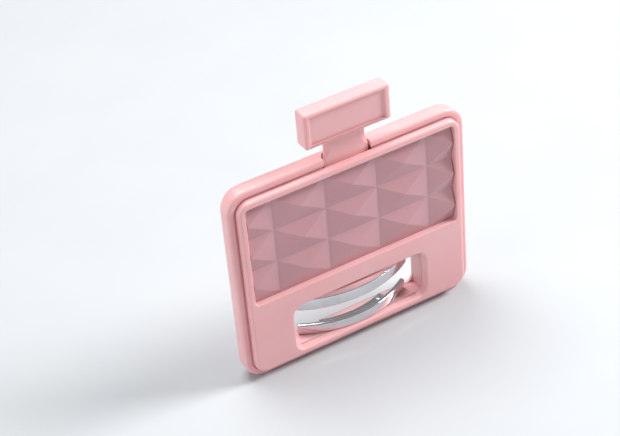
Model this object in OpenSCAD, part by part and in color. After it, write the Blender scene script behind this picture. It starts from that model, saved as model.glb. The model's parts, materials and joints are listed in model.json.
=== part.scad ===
// Compact eyelash curler with a thumb plunger.
// A flat frame holds a curved fixed jaw along its lower edge. A T-shaped plunger slides down between
// the back shell and the front bezel and brings a curved jaw with a soft pad onto the fixed jaw.
// Two springs on guide rods, behind the faceted front panel, push the plunger back up.
// X is the width, Y runs from the front face to the back, Z is up and 0 is the flat base.

/* [Frame] */
// Width of the frame
body_w = 76; // [75:1:80]
// Height of the frame, up to where the plunger comes out
body_h = 64; // [64:0.5:66]
// Thickness of the frame
body_t = 9; // [9:0.1:9.6]
// Wall thickness of the back shell
wall = 2.1; // [1.9:0.1:2.3]
// Corner radius of the back shell, seen from the front
corner_r = 6.5; // [6:0.5:8]
// Width of the groove between the back shell and the bezel
groove = 0.4; // [0.2:0.1:0.5]
// How far the bezel stands out of the back shell
bezel_step = 2.1; // [1.9:0.1:2.2]

/* [Faceted panel] */
// Width of one pyramid
cell_w = 16.57; // [16:0.01:16.6]
// Height of one row of pyramids
cell_h = 10.6; // [10.2:0.1:10.6]
// Rows of pyramids
cell_rows = 3; // [2:1:3]
// How far a pyramid rises from the panel
pyramid_rise = 1.5; // [0.8:0.1:1.7]

/* [Plunger] */
// Travel of the plunger, from open to closed
stroke = 5.5; // [4.5:0.1:5.6]
// Width of the thumb tab
tab_w = 27; // [24:0.2:32]
// Height of the thumb tab
tab_h = 11; // [9:0.1:14]
// Width of the neck under the thumb tab
neck_w = 13; // [11:0.1:13.6]
// Width of the blade that slides in the frame
blade_w = 14.4; // [14:0.1:14.6]

/* [Jaws] */
// Width of the jaws across the eye
jaw_w = 36; // [32:1:37]
// Radius of the jaws, seen from above
jaw_r = 32.2; // [31:0.1:36]
// Width of the lash window
window_w = 44; // [43:0.5:45]
// Gap between the jaws when the plunger is pressed right in
closed_gap = 0.1; // [0.05:0.05:0.3]

/* [Springs and rods] */
// Distance between the two guide rods
rod_spacing = 54; // [52:1:54]
// Diameter of a guide rod
rod_d = 2; // [1.8:0.1:2]
// Turns of each return spring
spring_turns = 11; // [8:1:12]
// Wire diameter of the springs
wire_d = 0.5; // [0.4:0.05:0.5]

/* [Hidden] */
$fn = 48;

PINK = [0.95, 0.69, 0.70];
DEEP_PINK = [0.78, 0.52, 0.55];
STEEL = [0.78, 0.79, 0.81];
BRASS = [0.80, 0.66, 0.38];
NYLON = [0.93, 0.92, 0.90];
SILICONE = [0.96, 0.86, 0.88];

slip = 0.3;                               // air between a moving face and a fixed one
bite = 0.2;                               // how far joined shapes of one piece run into each other

// Depths, front to back
front_y = -body_t / 2;                    // front face of the bezel
back_y = body_t / 2;                      // back face of the shell
rim_y = front_y + bezel_step;             // front rim of the shell
valley_y = front_y + 1.9;                 // floor between the pyramids
panel_t = 0.6;
panel_back_y = valley_y + panel_t;        // back of the panel and of the bezel's rim
floor_y = back_y - 1.3;                   // inside face of the shell's back wall
back_soft = 4;                            // radius of the shell's back edges
ledge_w = 0.7;                            // ledge in the shell that the bezel rests on
ledge_t = 1.1;
blade_y0 = panel_back_y + 0.25;
blade_y1 = blade_y0 + 2.35;
rod_y = (blade_y0 + floor_y) / 2;         // plane of the guide rods
tab_y0 = front_y + 0.2;

// Heights
bezel_w = body_w - 2 * (wall + groove);
bezel_z0 = wall + groove;
bezel_z1 = body_h - wall - groove;
bezel_r = corner_r - wall - groove;
bezel_back_soft = 0.7;                    // bevel round the back of the bezel
opening_w = 4 * cell_w + 0.7;
lip = 2;                                  // width of the bezel above its opening
opening_z1 = bezel_z1 - lip;
panel_z1 = opening_z1 - 0.5;              // upper end of the pyramids
panel_z0 = panel_z1 - 3 * cell_h;         // lower end of three rows
opening_z0 = panel_z0 - 0.5;
tuck = 0.6;                               // how far the panel's rim goes under the bezel
window_z0 = 4.6;
window_z1 = opening_z0 - 6.2;
window_r = 3;

// Jaws
jaw_end_y = 2.6;                          // where the middle of a jaw ends, towards the back
jaw_half_angle = asin(jaw_w / 2 / jaw_r);
jaw_centre_y = jaw_end_y + jaw_r * cos(jaw_half_angle);
fixed_jaw_t = 1.5;
fixed_jaw_z1 = window_z0 + 3.4;
fixed_flange_t = 0.8;
jaw_flange_angle = 22;
jaw_flange_w = 4.5;
channel_t = 3;
pad_t = 1.9;
pad_z0 = fixed_jaw_z1 + stroke + closed_gap;
channel_z0 = pad_z0 + 0.9;
channel_z1 = pad_z0 + 4.4;
channel_roof = 0.8;
carrier_z1 = channel_z1 + 1.8;
tongue_z1 = carrier_z1 + 7.4;
tongue_w = 14;
web_w = 18;                               // width of the web between the carrier's bar and its tongue

// Plunger
tab_z0 = body_h + stroke + 0.7;
tab_z1 = tab_z0 + tab_h;
blade_back_w = blade_w - 2.4;             // the blade narrows towards the back
blade_side_t = 0.6;                       // depth of the blade's straight sides
flare_z0 = body_h - 0.8;
flare_z1 = flare_z0 + 3.2;
neck_bevel = 1.7;                         // width and depth of the neck's front bevels
neck_bevel_t = 0.7;
neck_back_bevel = 1;
neck_side_t = 1.3;                        // depth from the neck's front to its back bevels
tray_w = tab_w - 3.4;                     // shallow tray in the front of the tab
tray_z0 = tab_z0 + 0.8;
tray_z1 = tab_z1 - 1.2;
tray_t = 0.6;

// Springs, rods and crosshead
rod_x = rod_spacing / 2;
rod_r = rod_d / 2;
rod_block_w = 7;
lower_block_z0 = window_z1 + 1.6;
lower_block_z1 = opening_z0 + 0.2;
upper_block_z0 = bezel_z1 - 4;
rod_z1 = upper_block_z0 + 3.1;
crosshead_z1 = upper_block_z0 - 0.2;
crosshead_z0 = crosshead_z1 - 6.7;
crosshead_y0 = blade_y0 + 0.05;
crosshead_y1 = floor_y - slip;
crosshead_w = rod_spacing + 6.4;
bush_r = 1.7;
bush_bore_r = rod_r + 0.03;
seat_t = 0.8;
seat_r = 2.2;
spring_z0 = lower_block_z1 + seat_t;
spring_z1 = crosshead_z0;
spring_r = 1.75;

// Fasteners
post_r = 1.5;
post_x = body_w / 2 - 4.6;
post_root = 0.9;                          // how far a post runs into the bezel
post_zs = [6.4, 24.2, bezel_z1 - 3.2];    // heights of the three posts on each side
screw_r = 0.6;
screw_head_r = 1.3;
screw_head_t = 0.8;
head_sink = 0.3;                          // how far a screw's head lies below the back face
screw_len = 4.6;
guide_w = 28;
guide_z0 = tongue_z1 + 1.2;
guide_z1 = guide_z0 + 5;
guide_screw_x = 11;
guide_screw_len = 3.4;
guide_z = (guide_z0 + guide_z1) / 2;
crosshead_screw_x = 3.6;
crosshead_screw_z = (crosshead_z0 + crosshead_z1) / 2;
carrier_rivet_x = 3.5;
carrier_rivet_z = carrier_z1 + 4;
jaw_rivet_angle = 22;
jaw_screw_x = 9;
jaw_screw_y = 1;
jaw_screw_z0 = 1.4;

// Shapes drawn in the front view and given a depth from y0 to y1
module depth(y0, y1) {
    translate([0, y1, 0]) rotate([90, 0, 0]) linear_extrude(y1 - y0) children();
}

// Rectangle with round corners, centred in X, from z0 to z1
module round_rect(w, z0, z1, r) {
    translate([-w / 2, z0 + r]) square([w, z1 - z0 - 2 * r]);
    translate([-w / 2 + r, z0]) square([w - 2 * r, z1 - z0]);
    for (x = [-1, 1], z = [z0 + r, z1 - r]) translate([x * (w / 2 - r), z]) circle(r);
}

// A round-cornered plate from y0 to y1, made smaller all round by inset
module plate(w, z0, z1, r, y0, y1, inset = 0) {
    depth(y0, y1) round_rect(w - 2 * inset, z0 + inset, z1 - inset, r - inset);
}

// Cylinder along Y, from y0 to y1
module peg(x, z, r, y0, y1) {
    translate([x, y1, z]) rotate([90, 0, 0]) cylinder(r = r, h = y1 - y0);
}

// Countersunk screw that runs towards the front from a head at y1
module screw_from_back(x, z, y1, length) {
    peg(x, z, screw_r, y1 - length, y1);
    difference() {
        peg(x, z, screw_head_r, y1 - screw_head_t, y1);
        for (turn = [0, 90])
            translate([x, y1, z]) rotate([0, turn, 0]) cube([1.5, 0.7, 0.35], center = true);
    }
}

// Band that follows the jaws' arc: a section drawn as (distance from the arc, height), turned
module along_jaw(half_angle = jaw_half_angle) {
    translate([0, jaw_centre_y, 0]) rotate([0, 0, -90 - half_angle])
        rotate_extrude(angle = 2 * half_angle, $fn = 160) translate([jaw_r, 0]) children();
}

// Everything between the jaws' arc and a straight line at the back, within half_w of the centre
module behind_jaw(z0, z1, half_w, y1, arc_r) {
    intersection() {
        translate([-half_w, -body_t, z0]) cube([2 * half_w, y1 + body_t, z1 - z0]);
        translate([0, jaw_centre_y, z0]) cylinder(r = arc_r, h = z1 - z0, $fn = 160);
    }
}

// One pyramid with its point towards the front, on a short root that runs into the panel
module pyramid(x, z) {
    w = cell_w / 2;
    h = cell_h / 2;
    base = [[-w, -h], [w, -h], [w, h], [-w, h]];
    root = panel_t / 2;
    translate([x, valley_y, z]) polyhedron(
        points = concat([for (p = base) [p[0], root, p[1]]],
                        [for (p = base) [p[0], 0, p[1]]],
                        [[0, -pyramid_rise, 0]]),
        faces = concat([[0, 1, 2, 3]],
                       [for (i = [0:3]) [i + 4, (i + 1) % 4 + 4, (i + 1) % 4, i]],
                       [for (i = [0:3]) [8, (i + 1) % 4 + 4, i + 4]]));
}

// Coil spring as one swept tube, from z0 to z1, round the rod at x
module coil(x, z0, z1) {
    sides = 8;
    steps = 16;
    rings = spring_turns * steps;
    r = wire_d / 2;
    low = z0 + r;
    rise = z1 - z0 - wire_d;
    points = [for (i = [0:rings]) let (a = 360 * i / steps, z = low + rise * i / rings)
              for (k = [0:sides - 1]) let (b = 360 * k / sides)
              [(spring_r + r * cos(b)) * cos(a), (spring_r + r * cos(b)) * sin(a), z + r * sin(b)]];
    faces = concat(
        [[for (k = [0:sides - 1]) k]],
        [for (i = [0:rings - 1], k = [0:sides - 1]) let (n = (k + 1) % sides)
            [i * sides + k, (i + 1) * sides + k, (i + 1) * sides + n, i * sides + n]],
        [[for (k = [sides - 1:-1:0]) rings * sides + k]]);
    translate([x, rod_y, 0]) polyhedron(points = points, faces = faces);
}

// Back half of the frame: a tub with rounded edges, a notch for the plunger and the lash window
module back_shell() {
    turn = 15;                            // step of the back edges' rounding
    color(PINK) difference() {
        union() {
            difference() {
                hull() {
                    plate(body_w, 0, body_h, corner_r, rim_y, rim_y + 0.4, 0.5);
                    plate(body_w, 0, body_h, corner_r, rim_y + 0.5, back_y - back_soft);
                    for (a = [turn:turn:90])
                        plate(body_w, 0, body_h, corner_r, back_y - back_soft * (1 - sin(a)) - 0.02,
                              back_y - back_soft * (1 - sin(a)), back_soft * (1 - cos(a)));
                }
                plate(body_w, 0, body_h, corner_r, rim_y - 1, floor_y, wall);
            }
            intersection() {
                plate(body_w, 0, body_h, corner_r, blade_y0, floor_y + bite, wall - bite);
                shell_ribs();
            }
            difference() {
                plate(body_w, 0, body_h, corner_r, panel_back_y, panel_back_y + ledge_t, wall - bite);
                plate(body_w, 0, body_h, corner_r, panel_back_y - 1, floor_y, wall + ledge_w);
            }
        }
        blade_slice(body_h - 2 * wall - groove, body_h + 1, slip, 1);
        plate(window_w, window_z0, window_z1, window_r, floor_y - slip, back_y + 1);
        for (x = [-rod_x, rod_x]) {
            translate([x, rod_y, lower_block_z0 - 1]) cylinder(r = rod_r, h = 9);
            translate([x, rod_y, upper_block_z0 - 1]) cylinder(r = rod_r, h = rod_z1 - upper_block_z0 + 1);
        }
        for (x = [-post_x, post_x], z = post_zs) {
            peg(x, z, screw_r, floor_y - 1, back_y + 1);
            peg(x, z, screw_head_r, back_y - screw_head_t - head_sink, back_y + 1);
        }
        for (x = [-guide_screw_x, guide_screw_x]) {
            peg(x, guide_z, screw_r, floor_y - 1, back_y + 1);
            peg(x, guide_z, screw_head_r, back_y - screw_head_t - head_sink, back_y + 1);
        }
        for (x = [-jaw_screw_x, jaw_screw_x])
            translate([x, jaw_screw_y, jaw_screw_z0]) cylinder(r = screw_r, h = window_z0);
    }
}

// Ribs inside the shell: the rod blocks, the lash window's side walls and the sill under the jaw
module shell_ribs() {
    for (side = [-1, 1]) {
        translate([side * rod_x - rod_block_w / 2, blade_y0, lower_block_z0])
            cube([rod_block_w, floor_y - blade_y0 + bite, lower_block_z1 - lower_block_z0]);
        translate([side * rod_x - rod_block_w / 2, blade_y0, upper_block_z0])
            cube([rod_block_w, floor_y - blade_y0 + bite, body_h - wall - upper_block_z0 + bite]);
        translate([side * (window_w / 2 + wall / 2) - wall / 2, blade_y0, wall - bite])
            cube([wall, floor_y - blade_y0 + bite, window_z1]);
    }
    translate([-window_w / 2 - bite, blade_y0, wall - bite])
        cube([window_w + 2 * bite, floor_y - blade_y0 + bite, window_z0 - wall + bite]);
}

// Front frame: a bevelled ring with one opening for the panel, one for the lashes, and screw posts
module front_bezel() {
    color(PINK) difference() {
        union() {
            hull() {
                plate(bezel_w, bezel_z0, bezel_z1, bezel_r, front_y, front_y + 0.1, 1.1);
                plate(bezel_w, bezel_z0, bezel_z1, bezel_r, front_y + 0.3, front_y + 0.4, 0.4);
                plate(bezel_w, bezel_z0, bezel_z1, bezel_r, front_y + 0.8, panel_back_y - bezel_back_soft);
                plate(bezel_w, bezel_z0, bezel_z1, bezel_r, panel_back_y - 0.1, panel_back_y,
                      bezel_back_soft);
            }
            for (x = [-post_x, post_x], z = post_zs) peg(x, z, post_r, panel_back_y - post_root, floor_y);
        }
        plate(opening_w, opening_z0, opening_z1, 1.2, front_y - 1, valley_y + bite);
        plate(opening_w + 2 * tuck, opening_z0 - tuck, opening_z1 + tuck, 0.8, valley_y, panel_back_y);
        plate(window_w, window_z0, window_z1, window_r, front_y - 1, panel_back_y + 1);
        for (x = [-post_x, post_x], z = post_zs)
            peg(x, z, screw_r, back_y - screw_len - head_sink, back_y);
    }
}

// Decorative panel of shallow pyramids, held behind the bezel's lip
module facet_panel() {
    color(DEEP_PINK) union() {
        depth(valley_y, panel_back_y)
            round_rect(opening_w + 2 * tuck, opening_z0 - tuck, opening_z1 + tuck, 0.8);
        intersection() {
            translate([-2 * cell_w, front_y, panel_z1 - cell_rows * cell_h])
                cube([4 * cell_w, body_t, cell_rows * cell_h]);
            union() for (i = [-2:2], row = [0:cell_rows - 1])
                pyramid(i * cell_w, panel_z1 - (row + 0.5) * cell_h);
        }
    }
}

// Nylon saddle on the shell's floor that the blade slides in
module blade_guide() {
    color(NYLON) difference() {
        translate([-guide_w / 2, blade_y0, guide_z0])
            cube([guide_w, floor_y - blade_y0, guide_z1 - guide_z0]);
        blade_slice(guide_z0 - 1, guide_z1 + 1, slip, 1);
        for (x = [-guide_screw_x, guide_screw_x]) peg(x, guide_z, screw_r, back_y - screw_len, back_y);
    }
}

// Curved steel edge on a flat flange that is screwed to the sill of the window
module fixed_jaw() {
    r = fixed_jaw_t / 2;
    color(STEEL) difference() {
        union() {
            along_jaw() {
                translate([-r, window_z0]) square([fixed_jaw_t, fixed_jaw_z1 - window_z0 - r]);
                translate([0, fixed_jaw_z1 - r]) circle(r);
            }
            along_jaw(jaw_flange_angle) translate([-jaw_flange_w, window_z0])
                square([jaw_flange_w, fixed_flange_t]);
        }
        for (x = [-jaw_screw_x, jaw_screw_x])
            translate([x, jaw_screw_y, window_z0 - 1]) cylinder(r = screw_r, h = 3);
    }
}

module fixed_jaw_screws() {
    top = window_z0 + fixed_flange_t;
    color(STEEL) for (x = [-jaw_screw_x, jaw_screw_x]) difference() {
        translate([x, jaw_screw_y, jaw_screw_z0]) {
            cylinder(r = screw_r, h = top - jaw_screw_z0);
            translate([0, 0, top - jaw_screw_z0]) cylinder(r = screw_head_r, h = screw_head_t);
        }
        for (turn = [0, 90])
            translate([x, jaw_screw_y, top + screw_head_t]) rotate([0, 0, turn])
                cube([1.5, 0.35, 0.7], center = true);
    }
}

// Screws that pull the bezel's posts onto the shell
module frame_screws() {
    color(STEEL) for (x = [-post_x, post_x], z = post_zs)
        screw_from_back(x, z, back_y - head_sink, screw_len);
}

module guide_screws() {
    color(STEEL) for (x = [-guide_screw_x, guide_screw_x])
        screw_from_back(x, guide_z, back_y - head_sink, guide_screw_len);
}

module guide_rod(x) {
    color(STEEL) translate([x, rod_y, lower_block_z0])
        cylinder(r = rod_r, h = rod_z1 - lower_block_z0);
}
module guide_rod_left() { guide_rod(-rod_x); }
module guide_rod_right() { guide_rod(rod_x); }

// Washer between a spring and the lower rod block
module spring_seat(x) {
    color(BRASS) translate([x, rod_y, lower_block_z1]) difference() {
        cylinder(r = seat_r, h = seat_t);
        translate([0, 0, -1]) cylinder(r = rod_r, h = seat_t + 2);
    }
}
module spring_seat_left() { spring_seat(-rod_x); }
module spring_seat_right() { spring_seat(rod_x); }

module return_spring_left() { color(STEEL) coil(-rod_x, spring_z0, spring_z1); }
module return_spring_right() { color(STEEL) coil(rod_x, spring_z0, spring_z1); }

// Thumb tab with a shallow recess, neck and blade, moulded in one piece
module plunger() {
    color(PINK) difference() {
        union() {
            hull() {
                depth(tab_y0, tab_y0 + 0.1) round_rect(tab_w - 1.4, tab_z0 + 0.7, tab_z1 - 0.7, 0.5);
                depth(tab_y0 + 0.7, blade_y1 - 0.3) round_rect(tab_w, tab_z0, tab_z1, 0.6);
                depth(blade_y1 - 0.1, blade_y1) round_rect(tab_w - 0.8, tab_z0 + 0.4, tab_z1 - 0.4, 0.5);
            }
            neck_slice(neck_w, flare_z1, tab_z0 + bite);
            hull() {
                neck_slice(neck_w, flare_z1 - 0.1, flare_z1);
                neck_slice(neck_w + 1, flare_z0 + 1, flare_z0 + 1.1);
                blade_slice(flare_z0, flare_z0 + 0.1);
            }
            blade_slice(carrier_z1, flare_z0 + bite);
        }
        depth(tab_y0 - 1, tab_y0 + tray_t) round_rect(tray_w, tray_z0, tray_z1, 0.4);
        for (x = [-crosshead_screw_x, crosshead_screw_x])
            peg(x, crosshead_screw_z, screw_r, blade_y0 + 0.6, back_y);
        for (x = [-carrier_rivet_x, carrier_rivet_x])
            peg(x, carrier_rivet_z, screw_r, blade_y0 - 1, back_y);
    }
}

// A stretch of the blade's section. grown adds air all round, opened carries it on towards the front
module blade_slice(z0, z1, grown = 0, opened = 0) {
    front = blade_w / 2 + grown;
    back = blade_back_w / 2 + grown;
    outline = [[front, blade_y0 - opened], [front, blade_y0 + blade_side_t], [back, blade_y1 + grown]];
    translate([0, 0, z0]) linear_extrude(z1 - z0)
        polygon(concat(outline, [for (i = [2:-1:0]) [-outline[i][0], outline[i][1]]]));
}

// A stretch of the neck with bevelled sides
module neck_slice(w, z0, z1) {
    half = w / 2;
    outline = [[half - neck_bevel, blade_y0], [half, blade_y0 + neck_bevel_t],
               [half, blade_y0 + neck_side_t], [half - neck_back_bevel, blade_y1]];
    translate([0, 0, z0]) linear_extrude(z1 - z0)
        polygon(concat(outline, [for (i = [3:-1:0]) [-outline[i][0], outline[i][1]]]));
}

// Cross bar that joins the blade to the two bushes
module crosshead() {
    tall = crosshead_z1 - crosshead_z0;
    color(NYLON) difference() {
        translate([-crosshead_w / 2, crosshead_y0, crosshead_z0])
            cube([crosshead_w, crosshead_y1 - crosshead_y0, tall]);
        blade_slice(crosshead_z0 - 1, crosshead_z1 + 1, 0, 1);
        for (x = [-rod_x, rod_x])
            translate([x, rod_y, crosshead_z0 - 1]) cylinder(r = bush_r, h = tall + 2);
        for (x = [-crosshead_screw_x, crosshead_screw_x]) {
            peg(x, crosshead_screw_z, screw_r, blade_y0, back_y);
            peg(x, crosshead_screw_z, screw_head_r, crosshead_y1 - screw_head_t, back_y);
        }
    }
}

module crosshead_screws() {
    color(STEEL) for (x = [-crosshead_screw_x, crosshead_screw_x])
        screw_from_back(x, crosshead_screw_z, crosshead_y1, crosshead_y1 - blade_y0 - 0.6);
}

// Brass bush that runs on a guide rod
module bush(x) {
    color(BRASS) translate([x, rod_y, crosshead_z0]) difference() {
        cylinder(r = bush_r, h = crosshead_z1 - crosshead_z0);
        translate([0, 0, -1]) cylinder(r = bush_bore_r, h = crosshead_z1 - crosshead_z0 + 2);
    }
}
module bush_left() { bush(-rod_x); }
module bush_right() { bush(rod_x); }

// Curved bar that carries the moving jaw, with a tongue that is riveted to the back of the blade
module jaw_carrier() {
    half = channel_t / 2;
    color(PINK) difference() {
        union() {
            along_jaw() translate([-half, channel_z1]) square([channel_t, carrier_z1 - channel_z1]);
            behind_jaw(channel_z1, carrier_z1, web_w / 2, crosshead_y1, jaw_r);
            translate([-tongue_w / 2, blade_y1, channel_z1])
                cube([tongue_w, crosshead_y1 - blade_y1, tongue_z1 - channel_z1]);
        }
        for (x = [-carrier_rivet_x, carrier_rivet_x])
            peg(x, carrier_rivet_z, screw_r, blade_y0 - 1, back_y);
        jaw_rivet_places() cylinder(r = screw_r, h = 20);
    }
}

module jaw_rivet_places() {
    for (side = [-1, 1])
        translate([0, jaw_centre_y, channel_z1 - channel_roof]) rotate([0, 0, -90 + side * jaw_rivet_angle])
            translate([jaw_r, 0, 0]) children();
}

module carrier_rivets() {
    color(STEEL) for (x = [-carrier_rivet_x, carrier_rivet_x])
        peg(x, carrier_rivet_z, screw_r, blade_y0, crosshead_y1);
}

// Steel channel that holds the pad
module moving_jaw() {
    half = channel_t / 2;
    color(STEEL) difference() {
        along_jaw() difference() {
            translate([-half, channel_z0]) square([channel_t, channel_z1 - channel_z0]);
            translate([-pad_t / 2, channel_z0 - 1])
                square([pad_t, channel_z1 - channel_roof - channel_z0 + 1]);
        }
        jaw_rivet_places() cylinder(r = screw_r, h = 20);
    }
}

module jaw_rivets() {
    color(STEEL) jaw_rivet_places() {
        cylinder(r = screw_r, h = carrier_z1 - channel_z1 + channel_roof);
        translate([0, 0, carrier_z1 - channel_z1 + channel_roof]) cylinder(r = 1, h = 0.3);
    }
}

// Soft pad with a rounded lower edge
module lash_pad() {
    r = pad_t / 2;
    top = channel_z1 - channel_roof;
    color(SILICONE) along_jaw(jaw_half_angle - 0.4) {
        translate([-r, pad_z0 + r]) square([pad_t, top - pad_z0 - r]);
        translate([0, pad_z0 + r]) circle(r);
    }
}

back_shell();
front_bezel();
facet_panel();
blade_guide();
fixed_jaw();
fixed_jaw_screws();
frame_screws();
guide_screws();
guide_rod_left();
guide_rod_right();
spring_seat_left();
spring_seat_right();
return_spring_left();
return_spring_right();
plunger();
crosshead();
crosshead_screws();
bush_left();
bush_right();
jaw_carrier();
carrier_rivets();
moving_jaw();
jaw_rivets();
lash_pad();
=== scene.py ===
# %% [markdown]
# # A compact plunger eyelash curler
# The object is a flat rounded frame, about the size of a playing card cut short. A T-shaped thumb plunger
# slides into its top edge and pushes a curved jaw down onto a fixed one. This lesson dresses the working
# model with finished surfaces: soft moulded edges, a faceted panel, polished jaws, and the plastics and
# metals that they are made of. The frame below is the working model, and every piece is placed from it.

# %% Load the working model
import math

import bmesh
import bpy
from mathutils import Matrix, Vector
from mathutils.geometry import tessellate_polygon
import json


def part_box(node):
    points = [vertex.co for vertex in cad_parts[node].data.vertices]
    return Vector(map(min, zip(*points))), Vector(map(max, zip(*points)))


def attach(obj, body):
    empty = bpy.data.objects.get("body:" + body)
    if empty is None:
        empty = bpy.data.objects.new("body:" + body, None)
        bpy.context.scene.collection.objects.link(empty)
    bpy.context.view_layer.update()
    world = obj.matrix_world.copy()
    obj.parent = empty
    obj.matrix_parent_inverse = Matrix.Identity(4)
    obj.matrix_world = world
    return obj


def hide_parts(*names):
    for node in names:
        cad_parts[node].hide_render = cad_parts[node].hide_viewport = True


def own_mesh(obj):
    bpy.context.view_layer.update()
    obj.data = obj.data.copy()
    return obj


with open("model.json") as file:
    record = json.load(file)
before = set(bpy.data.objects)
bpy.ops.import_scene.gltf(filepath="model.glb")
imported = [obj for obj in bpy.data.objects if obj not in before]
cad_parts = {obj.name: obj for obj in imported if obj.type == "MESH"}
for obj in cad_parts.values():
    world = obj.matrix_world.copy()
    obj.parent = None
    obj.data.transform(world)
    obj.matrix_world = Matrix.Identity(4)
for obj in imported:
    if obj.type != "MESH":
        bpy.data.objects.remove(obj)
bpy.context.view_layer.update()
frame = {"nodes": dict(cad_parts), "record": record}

# %% [markdown]
# Sizes are easiest to read in millimetres, while Blender's scene is in metres. One constant joins the two.
# The boxes of the main nodes give the planes that everything else is measured from.

# %% Units and main planes
MM = 0.001


def span(node):
    """Lowest and highest corner of a node, in millimetres."""
    low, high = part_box(node)
    return low / MM, high / MM


shell_low, shell_high = span("back_shell")
bezel_low, bezel_high = span("front_bezel")
panel_low, panel_high = span("facet_panel")
plunger_low, plunger_high = span("plunger")
width, height = shell_high.x - shell_low.x, shell_high.z
print("frame", round(width, 1), "x", round(height, 1), "mm; panel depth", round(panel_low.y, 2))

# %% [markdown]
# ## Camera
# The camera stands to the left of the front face, well above it, and its horizon leans a little. It looks
# at a point left of the middle of the frame through a long lens, so upright edges stay nearly parallel.

# %% Camera
AIM = Vector((-11.8, 0.4, 44.8)) * MM
AIM_DISTANCE = 497.0 * MM
VIEW_TURN = math.radians(27.75)       # to the left of straight on
VIEW_RISE = math.radians(36.63)       # above the horizon
VIEW_LEAN = math.radians(-5.36)       # roll of the camera
LENS = 104.8

forward = Vector((math.sin(VIEW_TURN) * math.cos(VIEW_RISE),
                  math.cos(VIEW_TURN) * math.cos(VIEW_RISE),
                  -math.sin(VIEW_RISE)))
camera_data = bpy.data.cameras.new("camera")
camera_data.lens = LENS
camera_data.sensor_width = 36.0
camera_data.clip_start = 0.01
camera = bpy.data.objects.new("camera", camera_data)
bpy.context.collection.objects.link(camera)
camera.matrix_world = (Matrix.Translation(AIM - forward * AIM_DISTANCE)
                       @ forward.to_track_quat("-Z", "Y").to_matrix().to_4x4()
                       @ Matrix.Rotation(VIEW_LEAN, 4, "Z"))
bpy.context.scene.camera = camera
print("camera at", tuple(round(v, 4) for v in camera.matrix_world.translation))

# %% [markdown]
# ## Outlines and walls
# Moulded parts like these are flat plates whose edges are rounded over. So the main helper takes outlines
# and walks a profile round each of them: a list of steps, each one a depth and an inset. The flat faces
# between the outlines are filled afterwards, with openings left out. This keeps flat faces truly flat.
# The first and last steps of a profile lie on the flat face, a hair inside its edge, so that the shading of
# the rounded edge cannot creep across the face.

# %% Outlines
HAIR = 0.08                            # width of the flat band that guards a face's shading


def round_rect(w, z0, z1, r, steps=8):
    """Outline of a rectangle with round corners, as a function of how far it is drawn in."""
    def outline(inset):
        radius = max(r - inset, 0.05)
        half, low, high = w / 2 - inset, z0 + inset, z1 - inset
        corners = ((half, low, -90), (half, high, 0), (-half, high, 90), (-half, low, 180))
        points = []
        for x, z, start in corners:
            cx, cz = x - math.copysign(radius, x), z + (radius if z == low else -radius)
            for i in range(steps + 1):
                a = math.radians(start + 90 * i / steps)
                points.append((cx + radius * math.cos(a), cz + radius * math.sin(a)))
        return points
    return outline


def disc(x, z, r):
    """Outline of a circle."""
    steps = 32
    turns = [2 * math.pi * i / steps for i in range(steps)]

    def outline(inset):
        return [(x + (r - inset) * math.cos(a), z + (r - inset) * math.sin(a)) for a in turns]
    return outline


def cross(x, z, arm, half):
    """Outline of a plus sign, such as the recess in a screw's head."""
    def outline(inset):
        a, h = arm - inset, half - inset
        shape = ((a, -h), (a, h), (h, h), (h, a), (-h, a), (-h, h), (-a, h), (-a, -h), (-h, -h),
                 (-h, -a), (h, -a), (h, -h))
        return [(x + u, z + v) for u, v in shape]
    return outline


def round_over(depth, inset, to_depth, to_inset, steps, from_face=True):
    """Quarter-round steps between a flat face and a wall, whichever comes first."""
    steps_out = []
    for i in range(steps + 1):
        a = math.pi / 2 * i / steps
        if from_face:
            part_depth, part_inset = 1 - math.cos(a), math.sin(a)
        else:
            part_depth, part_inset = math.sin(a), 1 - math.cos(a)
        steps_out.append((depth + (to_depth - depth) * part_depth,
                          inset + (to_inset - inset) * part_inset))
    return steps_out


print("a corner has", len(round_rect(10, 0, 10, 1)(0)) // 4, "points")

# %% [markdown]
# The builder below turns those walls into one closed mesh. A drawing on the front view is placed with its
# depth along Y, and a drawing seen from above is placed with its depth along Z.

# %% Build closed plates
def front_view(u, v, d):
    """A point drawn on the front view, u across and v up, at depth d."""
    return Vector((u, d, v))


def top_view(u, v, d):
    """A point drawn as seen from above, at height d."""
    return Vector((u, v, d))


def finish_mesh(name, points, faces, sharp=38):
    """Mesh object in metres from points in millimetres, with outward faces and smooth shading."""
    mesh = bpy.data.meshes.new(name)
    mesh.from_pydata([p * MM for p in points], [], faces)
    work = bmesh.new()
    work.from_mesh(mesh)
    bmesh.ops.remove_doubles(work, verts=work.verts, dist=1e-7)
    bmesh.ops.recalc_face_normals(work, faces=work.faces)
    work.to_mesh(mesh)
    work.free()
    mesh.shade_smooth()
    mesh.set_sharp_from_angle(angle=math.radians(sharp))
    piece = bpy.data.objects.new(name, mesh)
    bpy.context.collection.objects.link(piece)
    return piece


def fill(points, loops):
    """Triangles that fill flat loops, the first one outside and the others holes."""
    order = [i for loop in loops for i in loop]
    triangles = tessellate_polygon([[points[i] for i in loop] for loop in loops])
    return [tuple(order[i] for i in t) for t in triangles]


def plate(name, walls, place=front_view):
    """Closed plate. Each wall is (outline, profile, blind): a blind one ends in a floor of its own."""
    points, faces, first, last = [], [], [], []
    for outline, profile, blind in walls:
        rings = []
        for depth, inset in profile:
            ring = [place(u, v, depth) for u, v in outline(inset)]
            rings.append(range(len(points), len(points) + len(ring)))
            points.extend(ring)
        count = len(rings[0])
        for a, b in zip(rings, rings[1:]):
            faces += [(a[i], a[(i + 1) % count], b[(i + 1) % count], b[i]) for i in range(count)]
        first.append(rings[0])
        if blind:
            faces += fill(points, [rings[-1]])
        else:
            last.append(rings[-1])
    faces += fill(points, first)
    if last:
        faces += fill(points, last)
    return finish_mesh(name, points, faces)


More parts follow.
